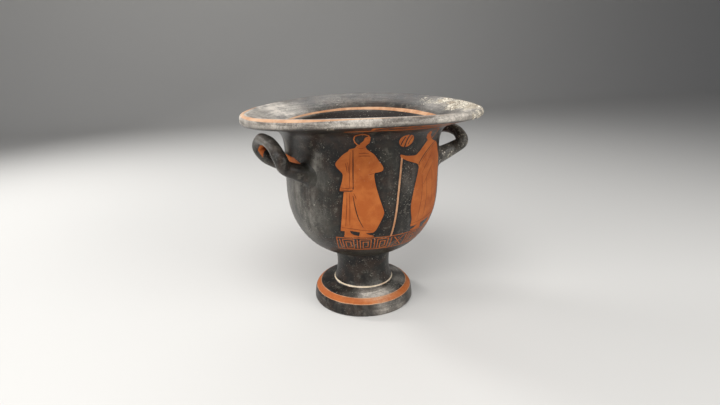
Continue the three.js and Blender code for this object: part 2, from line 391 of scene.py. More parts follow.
def youthWithStaff(x, mirror=1):
    # a second cloaked youth, whose hand is held out to a staff
    at = (x, 0)
    area("clay", [(5.4, 140), (7.2, 137.4), (12, 133), (17.4, 128), (22.6, 124), (28, 120.4), (36, 120.6),
                  (47, 121.8), (54, 124.2), (56.2, 124.4), (56, 121), (52, 118.4), (50.2, 117.6), (44, 114.4),
                  (37, 112), (30, 109.4), (26, 108.2), (21.6, 104), (23, 96), (27.2, 82), (32, 66), (35.6, 52),
                  (36, 44), (34.6, 34), (31.4, 24), (31, 14), (31, 9), (14, 10), (0, 12), (-14, 13),
                  (-30, 14), (-38, 16), (-41, 30), (-43, 52), (-46, 74), (-50, 92), (-52, 100), (-50, 108),
                  (-42, 114), (-38, 122), (-31, 130), (-20, 134.6), (-10, 137), (-5, 140)], at, mirror)
    head((x, 149.6), 0.9, mirror)
    feet(((-24, 12.5), (10, 11)), at, mirror)
    drawFolds((
        ([(-26, 135), (-10, 131), (8, 121), (20, 110), (23, 106)], folds["heavy"]),
        ([(-24, 131), (-8, 126.6), (6, 118), (17, 108)], folds["line"]),
        ([(23, 106.6), (20.4, 104.8), (19.4, 107.2), (21.6, 108.4), (23.2, 106)], 1.1),
        ([(-12, 118), (4, 104), (14, 92)], folds["line"]),
        ([(-22, 108), (-4, 90), (10, 74)], folds["line"]),
        ([(14, 90), (12, 66), (16, 42), (19, 20)], folds["line"]),
        ([(2, 84), (0, 58), (3, 34), (5, 20)], folds["line"]),
        ([(-14, 92), (-18, 62), (-16, 34)], folds["line"]),
        ([(-34, 100), (-36, 70), (-33, 40), (-32, 22)], folds["line"]),
        ([(31, 15), (10, 15.6), (-14, 18.6), (-34, 20)], folds["line"]),
        ([(53, 121.6), (49, 120.4)], 0.7),
    ), at, mirror)


def staff(top, bottom, width):
    side = width / 2
    layers.append(("wash", np.array([(top[0] - side, top[1]), (bottom[0] - side, bottom[1]),
                                     (bottom[0] + side, bottom[1]), (top[0] + side, top[1])])))


def disc(centre, size):
    # a hanging disc with slanted bars
    oval("clay", centre, size, lean=0.12, count=40)
    for shift, share, width in ((-5.6, 0.72, 2.3), (0.4, 1.02, 2.6), (5.8, 0.74, 1.7)):
        reach = size[1] * math.sqrt(1 - (shift / size[0]) ** 2) * share
        stroke("gloss", [(centre[0] + shift - 2.4, centre[1] - reach), (centre[0] + shift + 2.4, centre[1] + reach)],
               width, taper=0.7)


keys = {"line": 1.7, "space": 4.9, "frame": 1.6, "pitch": 29.4, "slant": 3.2, "crossAt": 3}
leaves = {"line": 2.6, "gap": 3.4, "leaves": 58, "wornFrom": -205, "wornTo": -62, "leavesFrom": -34}


def paintDesign():
    strip("gloss", keyBottom - 4, marks["roll"] - upZero)
    keyBand(-88, 121, keys)
    behind = roundHalf
    backWidth = 98
    for side in (-1, 1):  # the back band crosses the seam, so it is painted in two halves
        left, right = (-behind, -behind + backWidth) if side < 0 else (behind - backWidth, behind)
        keyBand(left, right, dict(keys, crossAt=None, slant=0), ends=(side > 0, side < 0))
    leafBand(leaves)
    # reserved panel on the wall between the roots of each handle
    for handle, half, bottom, top in ((handles["left"], 34, 92, 114), (handles["right"], 34, 96, 118)):
        x = math.radians(handle["angle"]) * bowl["radius"]
        area("clay", [(x - half, bottom), (x + half, bottom), (x + half, top), (x - half, top)], passes=1)
    # front
    standingYouth(-46)
    staff((14.8, 122.5), (2.7, -0.5), 3.0)
    youthWithStaff(68, mirror=-1)
    disc((19.6, 143.4), (11.6, 9.2))
    # back: two youths of the same kind, facing each other
    standingYouth(roundHalf - 46)
    standingYouth(-roundHalf + 46, mirror=-1)


paints = ["gloss", "clay", "line", "thinLine", "wash", "slip"]
bands = [  # rings of reserved clay; span is where one survives, drift moves its two edges: angle, by, by
    {"part": "foot", "from": 20.5, "to": 21.4, "paint": "wash"},
    {"part": "foot", "from": 21.4, "to": 28.0, "paint": "clay"},
    {"part": "foot", "from": 28.0, "to": 28.5, "paint": "wash"},
    {"part": "stem", "from": stemFootHeight, "to": stemFootHeight + 2.3, "paint": "slip",
     "drift": [(-120, 0, 0.2), (-20, 0, 0.2), (10, 0, -0.3), (60, 0, 0.3), (180, 0, -0.3)]},
    {"part": "roll", "along": (15.6, 18.0), "paint": "wash",
     "span": (-126, 18),
     "drift": [(-180, 2.4, 0.4), (-126, 2.0, 1.2), (-110, 0.6, 4.0), (-85, -2.4, 1.8), (-60, -4.4, -1.0),
               (-40, -3.6, -1.4), (-25, -1.2, -1.0), (-10, 0.6, -1), (18, 1, -1.2), (180, 2.4, 0.4)]},
    {"part": "inside", "from": 309.0, "to": 305.0, "paint": "wash",
     "drift": [(-180, 0, -1), (-120, 0, -2.2), (-60, 0, -1), (60, 0, 2.2), (120, 0, 1), (180, 0, -1)]},
]


def bandEdges(band):
    if "along" in band:
        return [marks[band["part"]] + a for a in band["along"]]
    return [alongAt(band["part"], band["from"]), alongAt(band["part"], band["to"])]


def rowsBetween(start, stop, step, fixed=()):
    stops = sorted([start, stop] + [f for f in fixed if start + 0.05 < f < stop - 0.05])
    rows = []
    for a, b in zip(stops[:-1], stops[1:]):
        rows.extend(np.linspace(a, b, max(1, round((b - a) / step)) + 1)[:-1])
    return rows + [stop]


def ringGrid(rows, painted):
    turns = mesh["turns"]
    phi = np.linspace(-math.pi, math.pi, turns + 1)
    across, along = np.meshgrid(phi, np.array(rows))
    unsteady = np.array([noise.noise(Vector((math.sin(a) * 6, math.cos(a) * 6, 3.0))) for a in phi])
    shifts = {rows[0]: 0 * phi, rows[-1]: 0 * phi}
    for _, edges, drift, _ in painted:
        angles, *moves = np.array(drift, float).T
        for way, edge, move in zip((-1, 1), edges, moves):
            if rows[0] < edge < rows[-1]:
                eased = np.interp(np.degrees(phi), angles, move, period=360)
                half = mesh["easing"] // 2
                wrapped = np.r_[eased[-half - 1:-1], eased, eased[1:half + 1]]
                shifts[edge] = np.convolve(wrapped, np.ones(mesh["easing"]) / mesh["easing"], "valid")
                shifts[edge] += unsteady * throwing["paintWobble"] * way
    knots = np.array(sorted(shifts))
    for j in range(turns + 1):
        along[:, j] = np.interp(rows, knots, knots + np.array([shifts[k][j] for k in knots]))
    faces, paint = [], []
    for i in range(len(rows) - 1):
        middle = (rows[i] + rows[i + 1]) / 2
        index, span = next(((paints.index(name), span) for name, (a, b), _, span in painted if a < middle < b),
                           (0, (0, 0)))
        base = i * (turns + 1)
        for j in range(turns):
            faces.append((base + j, base + j + 1, base + turns + 2 + j, base + turns + 1 + j))
            paint.append(index if span[0] <= math.degrees(phi[j]) <= span[1] else 0)
    return across.ravel(), along.ravel(), faces, paint


def insidePolygon(points, polygon):
    # even-odd test for the points that lie in the polygon's box
    low, high = polygon.min(0), polygon.max(0)
    found = np.zeros(len(points), bool)
    near = np.nonzero(((points > low) & (points < high)).all(1))[0]
    x, y = points[near, 0], points[near, 1]
    odd = np.zeros(len(near), bool)
    for (ax, ay), (bx, by) in zip(polygon, np.roll(polygon, -1, 0)):
        if ay != by:
            odd ^= ((ay > y) != (by > y)) & (x < (bx - ax) * (y - ay) / (by - ay) + ax)
    found[near] = odd
    return found


def paintedZone(bottom, top):
    # the part of the wall with the pictures: one flat net of triangles that keeps every painted edge
    columns = np.linspace(-roundHalf, roundHalf, mesh["turns"] + 1)
    points, edges, shapes = [], [], []

    def addPolygon(pts):
        start, count = len(points), len(pts)
        points.extend([tuple(p) for p in pts])
        edges.extend((start + i, start + (i + 1) % count) for i in range(count))

    sides = rowsBetween(bottom, top, mesh["rowStep"], [keyBottom, 0, leafBottom, leafTop])
    addPolygon([(x, bottom) for x in columns] + [(roundHalf, y) for y in sides[1:-1]]
               + [(x, top) for x in columns[::-1]] + [(-roundHalf, y) for y in sides[1:-1][::-1]])
    for name, pts in layers:
        pts = np.clip(pts, (-roundHalf, bottom), (roundHalf, top))
        dense = []
        for a, b in zip(pts, np.roll(pts, -1, 0)):
            count = max(1, int(np.linalg.norm(b - a) / 3.5))
            if not (abs(a[0]) == abs(b[0]) == roundHalf and a[0] == b[0]):
                dense.extend(a + (b - a) * k / count for k in range(count))
            else:
                dense.append(a)
        addPolygon(dense)
        shapes.append((name, pts))
    tree = kdtree.KDTree(len(points))
    for i, p in enumerate(points):
        tree.insert((p[0], p[1], 0), i)
    tree.balance()
    for i, y in enumerate(sides[1:-1]):
        shift = (columns[1] - columns[0]) / 2 * (i % 2)
        for x in columns[1:-1] + shift:
            if x < roundHalf - 1 and tree.find((x, y, 0))[2] > 0.9:
                points.append((x, y))
    verts, _, faces, *_ = delaunay_2d_cdt([Vector(p) for p in points], edges, [], 0, 1e-4)
    flat = np.array([tuple(v) for v in verts])
    centres = flat[np.array([tuple(f) for f in faces])].mean(1)
    paint = np.zeros(len(faces), int)
    for name, pts in shapes:
        paint[insidePolygon(centres, pts)] = paints.index(name)
    return flat[:, 0] / bowl["radius"], flat[:, 1] + upZero, [tuple(f) for f in faces], paint.tolist()


def handleGrid(handle):
    # one bar swept along its loop, with both ends spreading on to the wall
    root = shoulderHeight - handle["drop"]
    half = [(-bowl["wall"] * 2, handles["legSpread"], root - handle["rise"] * 0.06),
            (handles["kneeReach"], handles["kneeSpread"], root + handle["rise"] * 0.29),
            (handles["loopReach"], handles["loopSpread"], root + handle["rise"] * 0.57),
            (handle["reach"] - 2, handles["loopSpread"] * 0.6, root + handle["rise"] * 0.9),
            (handle["reach"], 0, root + handle["rise"])]
    turn = math.radians(handle["angle"])
    out = np.array([math.sin(turn), -math.cos(turn), 0])
    side = np.array([math.cos(turn), math.sin(turn), 0])
    spots = half + [(r, -w, z) for r, w, z in half[:-1][::-1]]
    line = [out * (bowl["radius"] + r) + side * w + np.array([0, 0, z]) for r, w, z in spots]
    line = spline(line, 1600, power=0.5)
    length = np.concatenate([[0], np.cumsum(np.linalg.norm(np.diff(line, axis=0), axis=1))])
    share = np.linspace(0, 1, 401)
    line = np.stack([np.interp(share * length[-1], length, line[:, k]) for k in range(3)], 1)
    tangent = np.gradient(line, axis=0)
    tangent /= np.linalg.norm(tangent, axis=1, keepdims=True)
    middle = out * (bowl["radius"] + 8) + np.array([0, 0, root + handle["rise"] * 0.5])
    inward = middle - line
    inward -= tangent * (inward * tangent).sum(1, keepdims=True)
    inward /= np.linalg.norm(inward, axis=1, keepdims=True)
    other = np.cross(tangent, inward)
    radius = handles["atLoop"] + (handles["atWall"] - handles["atLoop"]) * np.abs(2 * share - 1) ** 2
    outer = outlineAlong > marks["wall"]
    outer &= outlineAlong < marks["roll"]

    def wallRadius(z):
        return np.interp(z, outline[outer, 1], outline[outer, 0])

    columns = []
    sides, steps = mesh["barSides"], mesh["barSteps"]
    for k in range(sides):
        turnBy = 2 * math.pi * k / sides
        way = inward * math.cos(turnBy) + other * math.sin(turnBy)
        bar = line + way * radius[:, None]
        clear = np.hypot(bar[:, 0], bar[:, 1]) - wallRadius(bar[:, 2])
        centreClear = np.hypot(line[:, 0], line[:, 1]) - wallRadius(line[:, 2])
        halfway = len(share) // 2
        ends = []
        for order in (range(halfway), range(len(share) - 1, halfway, -1)):
            hit = next(i for i in order if clear[i] > 0)
            start = next(i for i in order if clear[i] > handles["fillet"] * 0.8)
            centre = line[next(i for i in order if centreClear[i] > 0)]
            touch = bar[hit]
            normal = np.array([touch[0], touch[1], 0]) / np.hypot(touch[0], touch[1])
            away = touch - centre
            away -= normal * away.dot(normal)
            away /= max(np.linalg.norm(away), 1e-6)
            land = touch + away * handles["fillet"]
            land[:2] *= (wallRadius(land[2]) - 0.5) / np.hypot(land[0], land[1])
            ends.append((start, bezier([bar[start], touch, land], 8)[1:]))
        (first, headPoints), (last, tailPoints) = ends
        pick = np.linspace(first, last, steps)
        body = np.stack([np.interp(pick, np.arange(len(share)), bar[:, c]) for c in range(3)], 1)
        columns.append(np.concatenate([headPoints[::-1], body, tailPoints]))
    grid = np.array(columns)
    uneven = waver(*grid.reshape(-1, 3).T, 0.05, 3.0).reshape(grid.shape[:2])
    centre = grid.mean(0, keepdims=True)
    grid += (grid - centre) / np.linalg.norm(grid - centre, axis=2, keepdims=True) * uneven[..., None] * 0.6
    return grid


def handleFaces(grid, start, innerPaint):
    sides, rows = grid.shape[:2]
    faces, paint, spots = [], [], []
    reserved = int(sides * 0.17)
    for k in range(sides):
        for i in range(rows - 1):
            n = (k + 1) % sides
            a, b = start + k * rows + i, start + n * rows + i
            faces.append((a, b, b + 1, a + 1))
            inner = min(k, sides - 1 - k) < reserved
            paint.append(paints.index(innerPaint) if inner and rows * 0.2 < i < rows * 0.8 else 0)
            spots.append((k, i))
    return faces, paint, spots


def buildPot():
    paintDesign()
    print("painted areas:", len(layers))
    bottom, top = upZero + keyBottom - 4, upZero + leafTop + 1.5
    painted = [(band["paint"], bandEdges(band), band.get("drift", [(0, 0, 0)]), band.get("span", (-180, 180)))
               for band in bands]
    edges = [edge for _, pair, _, _ in painted for edge in pair]
    lower = rowsBetween(0, marks["foot"], mesh["hollowRow"])
    lower += rowsBetween(marks["foot"], marks["stem"], mesh["footRow"], edges)[1:]
    lower += rowsBetween(marks["stem"], bottom, mesh["stemRow"], edges + [marks["wall"]])[1:]
    mouth = marks["inside"] + mesh["mouthDepth"]
    upper = rowsBetween(top, marks["roll"], mesh["flareRow"])
    upper += rowsBetween(marks["roll"], marks["inside"], mesh["rollRow"], edges)[1:]
    upper += rowsBetween(marks["inside"], mouth, mesh["mouthRow"], edges)[1:]
    upper += rowsBetween(mouth, marks["end"], mesh["floorRow"])[1:]
    phiAll, alongAll, faces, paint = [], [], [], []
    for phi, along, zoneFaces, zonePaint in (ringGrid(lower, painted), paintedZone(bottom - upZero, top - upZero),
                                             ringGrid(upper, painted)):
        start = sum(len(p) for p in phiAll)
        phiAll.append(phi)
        alongAll.append(along)
        faces += [tuple(start + i for i in f) for f in zoneFaces]
        paint += zonePaint
    phi, along = np.concatenate(phiAll), np.concatenate(alongAll)
    phi = np.where(phi >= math.pi - 1e-7, -math.pi, phi)
    along = np.clip(along, 0, marks["end"])
    # weld the seam and the joins between the zones, and the two poles
    closed = (along < 1e-6) | (along > marks["end"] - 1e-6)
    keyPhi = np.where(closed, 0, np.round(phi, 6))
    keyList = list(zip(keyPhi, np.round(along, 3)))
    slots, index, keep = {}, [], []
    for i, key in enumerate(keyList):
        if key not in slots:
            slots[key] = len(keep)
            keep.append(i)
        index.append(slots[key])
    phi, along = phi[keep], along[keep]
    points, normals = potPoint(phi, along)
    outFaces, outPaint = [], []
    for f, p in zip(faces, paint):
        ring = []
        for i in f:
            if index[i] not in ring:
                ring.append(index[i])
        if len(ring) > 2:
            a, b, c = (points[i] for i in ring[:3])
            if np.linalg.norm(np.cross(b - a, c - a)) > 1e-7:
                outFaces.append(ring)
                outPaint.append(p)
    count = len(points)
    allPoints, allNormals = [points], [normals]
    barSpots = {}
    for name in ("right", "left"):
        grid = handleGrid(handles[name])
        flat = grid.reshape(-1, 3)
        # the inner side of the right handle is painted dark brown as painted shade, the left one keeps its reserved
        # clay
        innerPaint = {"right": "line", "left": "clay"}[name]
        barFaces, barPaint, spots = handleFaces(grid, sum(len(p) for p in allPoints), innerPaint)
        barSpots[name] = (len(outFaces), spots, grid.shape[:2])
        outFaces += barFaces
        outPaint += barPaint
        allPoints.append(flat)
        allNormals.append(np.zeros_like(flat))
    data = bpy.data.meshes.new("kraterBody")
    data.from_pydata((np.concatenate(allPoints) * mm).tolist(), [], outFaces)
    data.update()
    print("pot:", len(data.vertices), "vertices,", sum(len(f) - 2 for f in outFaces), "triangles")
    return data, outPaint, np.concatenate(allNormals), phi, along, count, barSpots


def unwrap(data, phi, along, count, barSpots):
    # the pot is unrolled into one sheet, the two bars lie side by side above it
    layer = data.uv_layers.new(name="OFBake")
    sheet, gap, barWidth, barHeight = 0.9, 0.01, 0.47, 0.08
    values = np.zeros((len(data.loops), 2))
    bars = {first: (name, spots, shape) for name, (first, spots, shape) in barSpots.items()}
    firstBar = min(bars)
    for n, polygon in enumerate(data.polygons):
        loops = range(polygon.loop_start, polygon.loop_start + polygon.loop_total)
        ids = [data.loops[i].vertex_index for i in loops]
        if n < firstBar:
            angles = phi[ids]
            if angles.max() - angles.min() > math.pi:
                angles = np.where(angles < 0, angles + 2 * math.pi, angles)
            for i, a, v in zip(loops, angles, ids):
                values[i] = ((a + math.pi) / (2 * math.pi), along[v] / marks["end"] * sheet)
        else:
            first = max(f for f in bars if f <= n)
            name, spots, (sides, rows) = bars[first]
            k, i0 = spots[n - first]
            left = gap if name == "right" else 0.5 + gap
            for i, (dk, di) in zip(loops, ((0, 0), (1, 0), (1, 1), (0, 1))):
                values[i] = (left + (i0 + di) / rows * barWidth, sheet + gap + (k + dk) / sides * barHeight)
    layer.data.foreach_set("uv", values.ravel())


deposits = {  # each spot: angle, radius, height, size, strength
    "lime": [  # pale crust
        (34, 188, 324, 10, 0.8), (42, 188, 323, 14, 1.0), (52, 188, 322, 16, 1.0), (62, 187, 323, 20, 1.0),
        (84, 182, 324, 28, 1.0), (72, 187, 323, 26, 1.0), (100, 174, 320, 24, 0.8), (114, 162, 317, 28, 0.6),
        (84, 164, 318, 24, 0.75), (66, 176, 326, 18, 0.8), (12, 66, 33, 10, 0.5), (28, 68, 33, 10, 0.45),
        (-8, 62, 33.5, 10, 0.3), (-64, 126, 226, 10, 0.5), (-42, 124, 235, 12, 0.4), (-41, 124, 262, 8, 0.35),
        (-50, 180, 320, 16, 0.4), (12, 124, 240, 26, 0.34), (8, 124, 200, 24, 0.3), (-2, 124, 260, 18, 0.3),
        (26, 120, 170, 18, 0.32), (-88, 186, 322, 20, 0.5), (46, 74, 31, 8, 0.4), (170, 160, 318, 30, 0.3),
        (-150, 126, 190, 30, 0.36), (-32, 184, 319, 9, 0.85), (-42, 184, 318, 8, 0.7), (-24, 184, 320, 7, 0.6),
        (-64, 124, 262, 14, 0.3), (88, 92, 24, 10, 0.3),
    ],
    "wearAndSheen": [  # gloss rubbed to a dull grey; the spots on the left of the wall, from -50 to -92 degrees, are also painted sheen
        (-74, 124, 205, 36, 0.6), (-92, 120, 175, 36, 0.5), (-60, 123, 180, 26, 0.9), (-66, 124, 200, 24, 0.6),
        (-52, 124, 240, 20, 0.4), (-70, 118, 148, 26, 0.45), (-50, 124, 274, 6, 1.0), (-52, 124, 264, 6, 1.0),
        (-53, 124, 254, 6, 0.9), (-55, 124, 243, 7, 0.8), (-88, 125, 281, 9, 1.0), (-86, 125, 270, 8, 1.0),
        (-62, 124, 282, 14, 0.4), (88, 158, 285, 30, 0.4), (170, 124, 200, 60, 0.4), (10, 124, 230, 36, 0.36),
        (-20, 85, 10, 50, 0.3), (60, 85, 10, 40, 0.35), (-6, 60, 34, 24, 0.35), (120, 124, 190, 50, 0.4),
        (-140, 124, 220, 40, 0.35), (18, 118, 165, 22, 0.35), (-72, 128, 232, 12, 0.6),
    ],
    "filmAndSheen": [  # thin pale film, mostly on the lip, where it is also a painted highlight along the top and front of the lip
        (-60, 175, 326, 60, 0.65), (-100, 165, 324, 50, 0.95), (-134, 160, 322, 50, 1.0),
        (-20, 188, 324, 60, 0.85), (20, 188, 324, 60, 0.85), (60, 180, 324, 40, 0.8), (100, 170, 324, 40, 0.5),
        (150, 165, 322, 50, 0.1), (-90, 190, 324, 40, 0.6), (-18, 66, 32, 11, 0.7), (-5, 67, 32, 11, 0.95),
        (8, 68, 32, 11, 0.9), (21, 69, 32, 10, 0.55), (180, 165, 322, 50, 0.2), (2, 85, 9, 16, 0.35),
        (24, 85, 8, 14, 0.35), (60, 66, 33, 12, 0.4), (95, 66, 33, 14, 0.45),
    ],
}
handleWearAndSheen = {  # the right handle is crusted and rubbed, partly as painted sheen; the left one is dull, with a pale film on the top of its loop that is a painted highlight
    "right": {"wearAndSheen": 0.42, "lime": 0.45, "filmAndSheen": 0.2},
    "left": {"wearAndSheen": 0.15, "lime": 0.05, "filmAndSheen": 0.5},
    "filmAndSheenFrom": 276, "filmAndSheenTo": 304,
}


def spreadOf(points, spots):
    total = np.zeros(len(points))
    for angle, radius, height, size, strength in spots:
        a = math.radians(angle)
        gap = np.linalg.norm(points - (radius * math.sin(a), -radius * math.cos(a), height), axis=1)
        total = 1 - (1 - total) * (1 - np.clip(strength * np.exp(-(gap / size) ** 2), 0, 1))
    return total


def aroundPictures(phi, along, reach):
    # the darker stripe of gloss laid round each reserved picture
    flat = np.stack([phi * bowl["radius"], along - upZero], 1)
    pictures = [pts for name, pts in layers if name in ("clay", "wash") and pts[:, 1].max() < 162
                and pts[:, 1].min() > -0.6 and len(pts) > 3]
    dense = []
    for pts in pictures:
        for a, b in zip(pts, np.roll(pts, -1, 0)):
            steps = max(1, int(np.linalg.norm(b - a) / 1.5))
            dense.extend(a + (b - a) * k / steps for k in range(steps))
    tree = kdtree.KDTree(len(dense))
    for i, p in enumerate(dense):
        tree.insert((p[0], p[1], 0), i)
    tree.balance()
    near = np.array([tree.find((x, y, 0))[2] if -5 < y < 170 else 99.0 for x, y in flat])
    return 1 - smooth(near, reach * 0.5, reach)


def setMasks(data, phi, along, count):
    co = np.zeros(len(data.vertices) * 3)
    data.vertices.foreach_get("co", co)
    points = co.reshape(-1, 3) / mm
    stripe = np.zeros(len(points))
    stripe[:count] = aroundPictures(phi, along, 4.0)
    inside = np.zeros(len(points))
    inside[:count] = smooth(along, alongAt("inside", 305), alongAt("inside", 300))
    masks = {name: spreadOf(points, spots) for name, spots in deposits.items()}
    right = points[count:, 0] > 0
    for name in masks:
        masks[name][count:] = np.where(right, handleWearAndSheen["right"][name], handleWearAndSheen["left"][name])
    # on the handles the film, partly a painted highlight, lies only on the tops of the loops
    masks["filmAndSheen"][count:] *= smooth(points[count:, 2], handleWearAndSheen["filmAndSheenFrom"], handleWearAndSheen["filmAndSheenTo"])
    # the film and the rubbed grey, partly painted highlight, are kept to the top of the lip, so the top of the lip is
    # painted lighter than its underside; the inside of the bowl gets less of them and of the crust and stays dark
    upper = points[:count, 2] > 280
    lipTop = smooth(along, marks["roll"] + 4, marks["roll"] + 8)
    lipTop *= 1 - smooth(along, alongAt("inside", 306), alongAt("inside", 302))
    masks["filmAndSheen"][:count] *= np.where(along > marks["wall"], lipTop, 1)
    masks["wearAndSheen"][:count] *= np.where(upper & (along > marks["roll"]), lipTop, 1)
    masks["lime"][:count] *= np.where(upper, np.where(along > marks["inside"], lipTop, 0.8 + 0.2 * lipTop), 1)
    masks.update(stripe=stripe, inside=inside)
    for name, values in masks.items():
        data.attributes.new(name, "FLOAT", "POINT").data.foreach_set("value", values.astype(np.float32))


def colour(r, g, b):
    # from the usual 0-255 values to linear light
    def linear(c):
        c = c / 255
        return c / 12.92 if c <= 0.04045 else ((c + 0.055) / 1.055) ** 2.4
    return (linear(r), linear(g), linear(b), 1)


def feed(tree, socket, value):
    if isinstance(value, bpy.types.NodeSocket):
        tree.links.new(value, socket)
    else:
        socket.default_value = value


def addNode(tree, kind, inputs=None, **settings):
    node = tree.nodes.new(kind)
    for name, value in settings.items():
        setattr(node, name, value)
    for name, value in (inputs or {}).items():
        feed(tree, node.inputs[name], value)
    return node


def newGroup(name, inputs, outputs):
    tree = bpy.data.node_groups.new(name, "ShaderNodeTree")
    for label, kind, value in inputs:
        socket = tree.interface.new_socket(label, in_out="INPUT", socket_type="NodeSocket" + kind)
        socket.default_value = value
    for label, kind in outputs:
        tree.interface.new_socket(label, in_out="OUTPUT", socket_type="NodeSocket" + kind)
    return tree, tree.nodes.new("NodeGroupInput").outputs, tree.nodes.new("NodeGroupOutput").inputs


def mathNode(tree, operation, a, b=0.5, clamp=False):
    return addNode(tree, "ShaderNodeMath", {0: a, 1: b}, operation=operation, use_clamp=clamp).outputs[0]


def times(tree, a, b, clamp=False):
    return mathNode(tree, "MULTIPLY", a, b, clamp)


def plus(tree, a, b, clamp=False):
    return mathNode(tree, "ADD", a, b, clamp)


def scaleVector(tree, vector, factor):
    return addNode(tree, "ShaderNodeVectorMath", {0: vector, "Scale": factor}, operation="SCALE").outputs[0]


def rangeNode(tree, value, low, high, toLow=0.0, toHigh=1.0):
    node = addNode(tree, "ShaderNodeMapRange", {"Value": value, "From Min": low, "From Max": high,
                                                "To Min": toLow, "To Max": toHigh}, interpolation_type="SMOOTHSTEP")
    return node.outputs[0]


def mixColour(tree, factor, a, b, blend="MIX"):
    node = addNode(tree, "ShaderNodeMix", data_type="RGBA", blend_type=blend)
    for index, value in ((0, factor), (6, a), (7, b)):  # factor, first and second colour
        feed(tree, node.inputs[index], value)
    return node.outputs[2]


def noiseAt(tree, where, scale, detail=4, roughness=0.55, distortion=0.0):
    return addNode(tree, "ShaderNodeTexNoise", {"Vector": where, "Scale": scale, "Detail": detail,
                                                "Roughness": roughness, "Distortion": distortion}).outputs["Fac"]


def makeGrain():
    tree, inp, out = newGroup("clayGrain", [("Vector", "Vector", (0, 0, 0)), ("Scale", "Float", 1.0)],
                              [("Fine", "Float"), ("Coarse", "Float"), ("Height", "Float")])
    where = scaleVector(tree, inp["Vector"], inp["Scale"])
    fine = noiseAt(tree, where, 900, 3)
    coarse = noiseAt(tree, where, 55, 5, 0.6, 0.4)
    tree.links.new(fine, out["Fine"])
    tree.links.new(coarse, out["Coarse"])
    both = times(tree, coarse, 1.4)
    tree.links.new(plus(tree, both, fine), out["Height"])
    return tree


def makeTurning():
    # faint rings left by turning on the wheel: they follow the radius on flat parts and the height on upright ones
    tree, inp, out = newGroup("wheelMarks", [("Vector", "Vector", (0, 0, 0)), ("Spacing", "Float", 300.0),
                                             ("Waver", "Float", 0.006)],
                              [("Height", "Float"), ("Streaks", "Float"), ("Upright", "Float")])
    parts = addNode(tree, "ShaderNodeSeparateXYZ", {0: inp["Vector"]}).outputs
    flat = addNode(tree, "ShaderNodeCombineXYZ", {"X": parts["X"], "Y": parts["Y"]}).outputs[0]
    radius = addNode(tree, "ShaderNodeVectorMath", {0: flat}, operation="LENGTH").outputs["Value"]
    bend = times(tree, noiseAt(tree, inp["Vector"], 9, 3), inp["Waver"])
    ring = addNode(tree, "ShaderNodeCombineXYZ", {"X": plus(tree, radius, bend),
                                                  "Z": plus(tree, parts["Z"], bend)}).outputs[0]
    spaced = scaleVector(tree, ring, inp["Spacing"])
    tree.links.new(noiseAt(tree, spaced, 1.0, 3), out["Height"])
    local = scaleVector(tree, inp["Vector"], 14.0)
    drawn = scaleVector(tree, spaced, 0.5)
    drawn = addNode(tree, "ShaderNodeVectorMath", {0: drawn, 1: local}, operation="ADD").outputs[0]
    tree.links.new(noiseAt(tree, drawn, 1.0, 5, 0.62), out["Streaks"])
    # soft streaks that run up and down the wall, used for the rubbed grey and its painted sheen
    pressed = addNode(tree, "ShaderNodeVectorMath", {0: inp["Vector"], 1: (85.0, 85.0, 11.0)},
                      operation="MULTIPLY").outputs[0]
    tree.links.new(noiseAt(tree, pressed, 1.0, 5, 0.6, 0.6), out["Upright"])
    return tree


def makeLime():
    # pale crust: closed where the amount is high, breaking up into crumbs and specks towards its edge
    tree, inp, out = newGroup("limeCrust", [("Base Color", "Color", (0, 0, 0, 1)),
                                            ("Lime Color", "Color", (1, 1, 1, 1)),
                                            ("Vector", "Vector", (0, 0, 0)), ("Amount", "Float", 0.0),
                                            ("Specks", "Float", 0.2)],
                              [("Color", "Color"), ("Mask", "Float"), ("Height", "Float")])
    patches = noiseAt(tree, inp["Vector"], 70, 8, 0.75, 0.3)
    dots = noiseAt(tree, inp["Vector"], 430, 3, 0.6)
    amount = mathNode(tree, "MINIMUM", inp["Amount"], 0.78)
    crumbs = plus(tree, times(tree, patches, 0.9), dots)
    crust = rangeNode(tree, plus(tree, amount, crumbs), 1.46, 1.64)
    region = noiseAt(tree, inp["Vector"], 26, 3, 0.5)
    thick = plus(tree, dots, times(tree, inp["Amount"], 0.16))
    scatter = times(tree, rangeNode(tree, thick, 0.63, 0.70), rangeNode(tree, region, 0.40, 0.60))
    scatter = times(tree, scatter, inp["Specks"])
    mask = mathNode(tree, "MAXIMUM", crust, scatter, clamp=True)
    stain = mixColour(tree, rangeNode(tree, noiseAt(tree, inp["Vector"], 60, 6, 0.7), 0.46, 0.62, 0.0, 0.7),
                      inp["Lime Color"], (0.30, 0.22, 0.14, 1))
    shade = mixColour(tree, rangeNode(tree, dots, 0.42, 0.56), (0.22, 0.18, 0.13, 1), stain)
    tree.links.new(mixColour(tree, mask, inp["Base Color"], shade), out["Color"])
    tree.links.new(mask, out["Mask"])
    tree.links.new(times(tree, mask, plus(tree, dots, 0.4)), out["Height"])
    return tree


